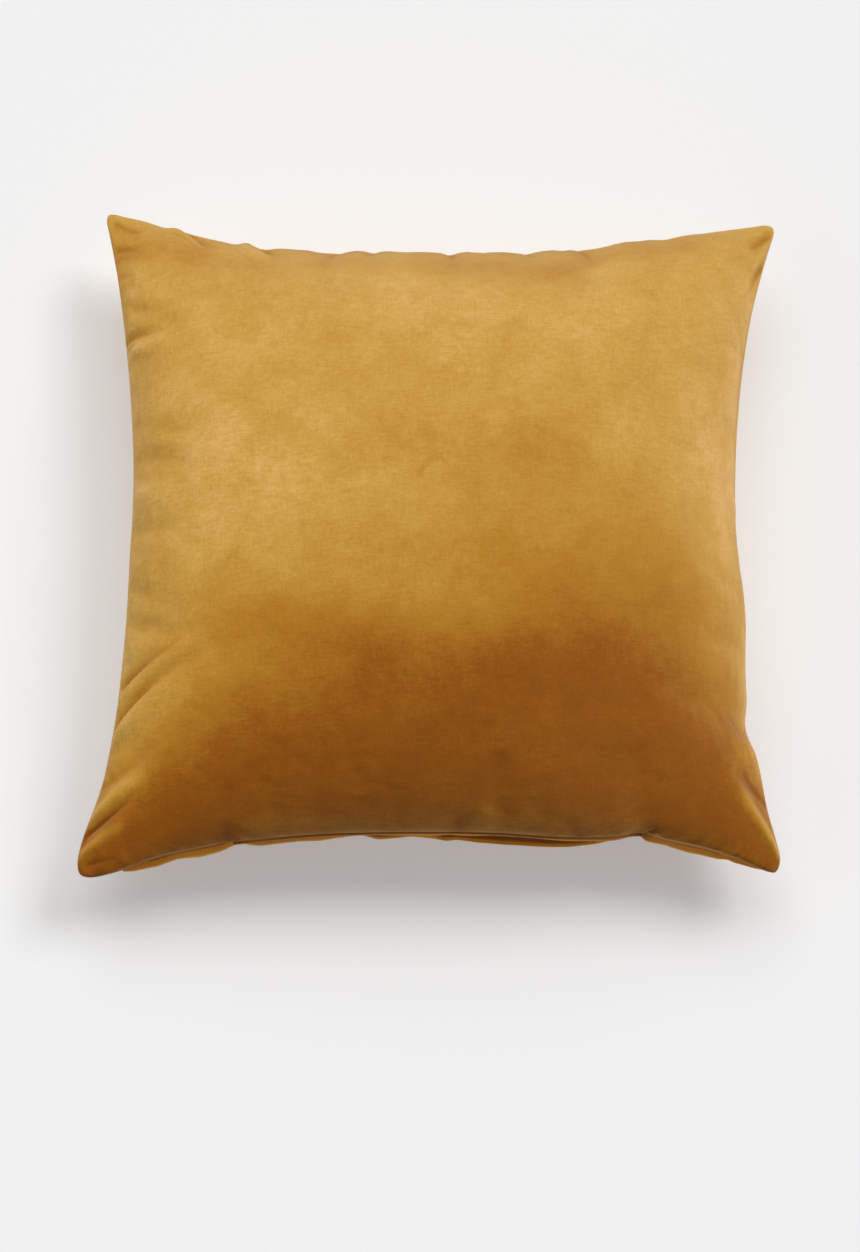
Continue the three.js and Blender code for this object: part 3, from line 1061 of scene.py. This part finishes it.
def shaded_seam(s, t):
    """Painted shade of the seam: seam_shade * bell(distance from the seam), where the seam rolls to the
    front and over the laps.
    """
    shade = bell(away_from("lower", s, t), lap_shade_width)
    shade = shade * (1 - smooth_step(np.abs(s), lap_shade_from, lap_shade_to))
    for roll in seam_rolls:
        rolled = bell(t * half - roll["at"], roll["width"])
        shade = shade + rolled * bell(away_from(roll["side"], s, t), roll_shade_width)
    return seam_shade * shade


def nearest_crease(s, t):
    """Signed distance aside from the nearest crease, and how strong that one is there: strength times
    a quick rise at its start and 1 - run**2, and nothing from crease_fade_to away."""
    aside, strength = np.full(s.shape, crease_clip), np.zeros(s.shape)
    for crease in creases:
        run, off = along_line(s * half, t * half, crease)
        nearer = np.abs(off) < np.abs(aside)
        close = 1 - smooth_step(np.abs(off), crease_fade_from, crease_fade_to)
        fades = crease["strength"] * smooth_step(run, 0, crease_start) * (1 - run**2) * close
        aside = np.where(nearer, off, aside)
        strength = np.where(nearer, fades, strength)
    return aside, strength


def set_values(piece, name, values):
    """Keeps one number for each point of a piece."""
    piece.data.attributes.new(name, "FLOAT", "POINT").data.foreach_set("value", values.astype(np.float32))
    print(piece.name, name, "from", round(float(values.min()), 2), "to", round(float(values.max()), 2))


# The laps' colour is painted light: painted shade under what lies above them, painted light along them and a
# painted highlight on their fold.
lap_lit = 0.4
lap_lights = rows("x width lift", [(-168, 38, 0.6), (175, 20, 0.2), (147, 5, -0.3)])
dark_before, dark_past = 0.15, 0.1
fold_shine = 0.5
fold_from, fold_to = 0.74, 0.86


def lap_painted_light(piece, dark_to):
    """Painted shade as far across the lap as what lies above it shades it, then lap_lit and the painted
    light along it, with fold_shine more at its fold as a painted highlight."""
    x = np.array([vertex.co.x for vertex in piece.data.vertices]) * 1000
    w = np.append(np.tile(lap_across, (len(x) - 2) // len(lap_across)), [0.5, 0.5])
    lit = lap_lit + sum(light["lift"] * bell(x - light["x"], light["width"]) for light in lap_lights)
    shown = smooth_step(w, dark_to - dark_before, dark_to + dark_past)
    return lit * shown + fold_shine * smooth_step(w, fold_from, fold_to)


lie = np.zeros(len(cover_points))
back_folds = back_share * fold_height(fine_s, fine_t, folds)
lie[back_grid] = least_painted_light + far_painted_light(fine_s, fine_t) + fold_painted_light * back_folds
lie[front_grid] = face_tone_and_painted_light(fine_s, fine_t) - shaded_seam(fine_s, fine_t)
set_values(cushion, "lie", np.clip(lie, 0, brightest_painted_light))
crease_aside = np.full(len(cover_points), crease_clip)
crease_strength = np.zeros(len(cover_points))
crease_aside[front_grid], crease_strength[front_grid] = nearest_crease(fine_s, fine_t)
set_values(cushion, "crease_aside", crease_aside)
set_values(cushion, "crease_strength", crease_strength)
set_values(upper_lap, "lie", lap_painted_light(upper_lap, dark_to=0.36))
set_values(lower_lap, "lie", lap_painted_light(lower_lap, dark_to=0.78))
set_values(tack_threads, "lie", np.full(len(tack_threads.data.vertices), thread_tone))

# %% [markdown]
# ## Velvet
#
# The colour runs from a deep amber, for the deepest painted shade, to mustard gold, for painted light, and
# on to a paler gold for painted sheen. Four layers of noise shift it further: soft clouds, fine grain, and
# threads stretched along the weft and the warp. A crease is a thin line of painted shade and a groove in the
# bump. The sheen of the principled shader gives the shine along the fibres at the rims. The fibres lean
# towards the far edge and to the right, so the normal that the shader sees leans that way too. The pile of
# the narrow laps stands straight.

# %% Velvet
crease_width = 1.4
# How much a crease darkens the colour, as painted shade.
crease_painted_shade = 0.3
# From the deepest painted shade through painted light to a paler painted sheen.
face_colours = rows(
    "lie red green blue",
    [
        (0.0, 0.240, 0.066, 0.0016),
        (0.12, 0.305, 0.086, 0.0024),
        (0.3, 0.408, 0.158, 0.0100),
        (0.55, 0.500, 0.225, 0.0200),
        (1.0, 0.640, 0.362, 0.0670),
        (1.6, 0.960, 0.550, 0.2300),
    ],
)
# From the painted shade of a lap through its painted light to the painted highlight of its fold.
lap_colours = rows(
    "lie red green blue",
    [
        (0.0, 0.20, 0.050, 0.002),
        (0.4, 0.60, 0.215, 0.016),
        (1.0, 0.82, 0.290, 0.012),
        (1.6, 0.90, 0.500, 0.090),
    ],
)
# clouds, grain, weft threads and warp threads, with how many of each go to a metre along x, y and z
layers = [
    dict(amount=0.62, detail=3, roughness=0.8, to_a_metre=(28, 28, 28)),
    dict(amount=0.62, detail=3, roughness=1.0, to_a_metre=(420, 420, 420)),
    dict(amount=0.30, detail=1, roughness=0.5, to_a_metre=(120, 1050, 120)),
    dict(amount=0.22, detail=1, roughness=0.5, to_a_metre=(1050, 120, 120)),
]
deep_mottling = 0.34
lit_mottling = 0.85
pile_size = (2600, 2600, 2600)
pile_bump = 0.08
crease_deep = 0.35
face_lean = (0.25, 0.3, 0)
no_lean = (0, 0, 0)


def velvet(name, colours, lean):
    """Colour from the table of colours by the painted light and tone that the points keep, plus the mottling
    and the painted shade of creases, over a leaning pile.
    """
    material = bpy.data.materials.new(name)
    material.use_nodes = True
    nodes, links = material.node_tree.nodes, material.node_tree.links
    shader = nodes["Principled BSDF"]
    shader.inputs["Roughness"].default_value = 0.7
    shader.inputs["Specular IOR Level"].default_value = 0.12
    shader.inputs["Specular Tint"].default_value = (1.0, 0.78, 0.35, 1)
    shader.inputs["Sheen Weight"].default_value = 1.0
    shader.inputs["Sheen Roughness"].default_value = 0.5
    shader.inputs["Sheen Tint"].default_value = (1.0, 0.62, 0.26, 1)

    place = nodes.new("ShaderNodeTexCoord")

    def combine(operation, *terms):
        """A math node of numbers and other nodes' outputs."""
        node = nodes.new("ShaderNodeMath")
        node.operation = operation
        for socket, value in zip(node.inputs, terms):
            if isinstance(value, (int, float)):
                socket.default_value = value
            else:
                links.new(value, socket)
        return node.outputs[0]

    def blotches(detail, roughness, to_a_metre):
        """Noise with that many blotches to a metre along x, y and z, from -0.5 to 0.5."""
        sized = nodes.new("ShaderNodeMapping")
        sized.inputs["Scale"].default_value = to_a_metre
        links.new(place.outputs["Object"], sized.inputs["Vector"])
        noise = nodes.new("ShaderNodeTexNoise")
        noise.inputs["Scale"].default_value = 1.0
        noise.inputs["Detail"].default_value = detail
        noise.inputs["Roughness"].default_value = roughness
        links.new(sized.outputs["Vector"], noise.inputs["Vector"])
        return combine("SUBTRACT", noise.outputs["Fac"], 0.5)

    def kept(name):
        """The number that the points keep by that name."""
        attribute = nodes.new("ShaderNodeAttribute")
        attribute.attribute_name = name
        return attribute.outputs["Fac"]

    mottling = 0.0
    for layer in layers:
        noise = blotches(layer["detail"], layer["roughness"], layer["to_a_metre"])
        mottling = combine("MULTIPLY_ADD", noise, layer["amount"], mottling)
    contrast = combine("MULTIPLY_ADD", kept("lie"), lit_mottling, deep_mottling)
    mottling = combine("MULTIPLY", mottling, contrast)
    across = combine("DIVIDE", kept("crease_aside"), crease_width)
    squared = combine("MULTIPLY", across, across)
    groove = combine("EXPONENT", combine("MULTIPLY", squared, -1.0))
    crease = combine("MULTIPLY", groove, kept("crease_strength"))
    lie = combine("ADD", kept("lie"), mottling)
    lie = combine("MULTIPLY_ADD", crease, -crease_painted_shade, lie)
    tones = nodes.new("ShaderNodeValToRGB")
    stops = tones.color_ramp.elements
    while len(stops) < len(colours):
        stops.new(0.5)
    for stop, colour in zip(stops, colours):
        stop.position = colour["lie"] / brightest_painted_light
        stop.color = (colour["red"], colour["green"], colour["blue"], 1)
    links.new(combine("DIVIDE", lie, brightest_painted_light), tones.inputs["Fac"])
    links.new(tones.outputs["Color"], shader.inputs["Base Color"])

    surface = nodes.new("ShaderNodeNewGeometry")
    leaning = nodes.new("ShaderNodeVectorMath")
    leaning.operation = "ADD"
    leaning.inputs[1].default_value = lean
    links.new(surface.outputs["Normal"], leaning.inputs[0])
    upright = nodes.new("ShaderNodeVectorMath")
    upright.operation = "NORMALIZE"
    links.new(leaning.outputs[0], upright.inputs[0])
    bump = nodes.new("ShaderNodeBump")
    bump.inputs["Strength"].default_value = 1.0
    bump.inputs["Distance"].default_value = 0.001
    height = combine("MULTIPLY", blotches(1, 0.5, pile_size), pile_bump)
    links.new(combine("MULTIPLY_ADD", crease, -crease_deep, height), bump.inputs["Height"])
    links.new(upright.outputs[0], bump.inputs["Normal"])
    links.new(bump.outputs["Normal"], shader.inputs["Normal"])
    return material


cushion.data.materials.append(velvet("mustard_velvet", face_colours, face_lean))
lap_velvet = velvet("mustard_velvet_fold", lap_colours, no_lean)
upper_lap.data.materials.append(lap_velvet)
lower_lap.data.materials.append(lap_velvet)
tack_threads.data.materials.append(lap_velvet)

# %% [markdown]
# ## The pieces on the body
#
# Each piece rides on the only body. The cushion and the laps stand for the solids that they dress, which are
# hidden.

# %% The pieces on the body
for piece, node, slot in (
    (cushion, "cushion_cover", "velvet"),
    (upper_lap, "zip_lap_upper", "lap_velvet"),
    (lower_lap, "zip_lap_lower", "lap_velvet"),
):
    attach(piece, "root")
    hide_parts(node)
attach(tack_threads, "root")
